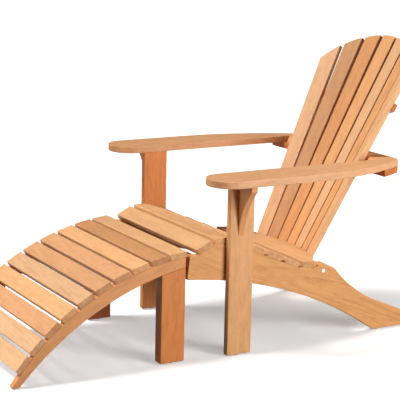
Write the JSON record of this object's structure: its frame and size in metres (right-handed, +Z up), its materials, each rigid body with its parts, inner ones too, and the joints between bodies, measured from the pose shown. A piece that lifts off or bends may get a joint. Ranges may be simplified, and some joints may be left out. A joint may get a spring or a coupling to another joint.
{
  "type": "adirondack chair",
  "caption": "Slatted hardwood garden lounge chair with a fanned reclined back, broad flat arms and a matching arched footrest.",
  "frame": {"origin": "bottom centre of the bounding box of chair and footrest together, on the floor", "axes": "+Z up, the sitter faces -Y, +X is the sitter's left; symmetric about X = 0"},
  "size_m": [0.798, 1.5233, 0.95],
  "materials": {
    "wood_chair_frame": "oiled satin",
    "wood_seat_slat": "oiled satin",
    "wood_back_slat": "oiled satin",
    "wood_footrest_slat": "oiled satin",
    "wood_footrest_frame": "oiled satin",
    "wood_dowel": "plain",
    "steel_fixing": "satin",
    "nylon_glide": "matt"
  },
  "bodies": {
    "chair": {"stringer_left": "wood_chair_frame", "stringer_right": "wood_chair_frame", "front_leg_left": "wood_chair_frame", "front_leg_right": "wood_chair_frame", "arm_bracket_left": "wood_chair_frame", "arm_bracket_right": "wood_chair_frame", "arm_left": "wood_chair_frame", "arm_right": "wood_chair_frame", "front_apron": "wood_chair_frame", "seat_slat_1": "wood_seat_slat", "seat_slat_2": "wood_seat_slat", "seat_slat_3": "wood_seat_slat", "seat_slat_4": "wood_seat_slat", "seat_slat_5": "wood_seat_slat", "seat_slat_6": "wood_seat_slat", "seat_slat_7": "wood_seat_slat", "back_slat_1": "wood_back_slat", "back_slat_2": "wood_back_slat", "back_slat_3": "wood_back_slat", "back_slat_4": "wood_back_slat", "back_slat_5": "wood_back_slat", "back_slat_6": "wood_back_slat", "back_slat_7": "wood_back_slat", "lower_back_rail": "wood_chair_frame", "upper_arm_rail": "wood_chair_frame", "lower_arm_rail": "wood_chair_frame", "top_back_rail": "wood_chair_frame", "seat_dowels": "wood_dowel", "apron_dowels": "wood_dowel", "arm_dowels": "wood_dowel", "bracket_dowels": "wood_dowel", "leg_screws": "steel_fixing", "arm_rail_screws": "steel_fixing", "lower_back_screws": "steel_fixing", "top_back_screws": "steel_fixing", "rail_bolts": "steel_fixing", "barrel_nuts": "steel_fixing", "chair_glides": "nylon_glide"},
    "footrest": {"footrest_rail_left": "wood_footrest_frame", "footrest_rail_right": "wood_footrest_frame", "footrest_leg_left": "wood_footrest_frame", "footrest_leg_right": "wood_footrest_frame", "footrest_slat_1": "wood_footrest_slat", "footrest_slat_2": "wood_footrest_slat", "footrest_slat_3": "wood_footrest_slat", "footrest_slat_4": "wood_footrest_slat", "footrest_slat_5": "wood_footrest_slat", "footrest_slat_6": "wood_footrest_slat", "footrest_slat_7": "wood_footrest_slat", "footrest_slat_8": "wood_footrest_slat", "footrest_slat_9": "wood_footrest_slat", "footrest_slat_10": "wood_footrest_slat", "footrest_dowels": "wood_dowel", "footrest_screws": "steel_fixing", "footrest_glides": "nylon_glide"}
  },
  "joints": [
    {"name": "footrest_slide", "type": "slide", "parent": "chair", "child": "footrest", "axis": [0, -1, 0], "range_m": [0, 0.3]}
  ]
}
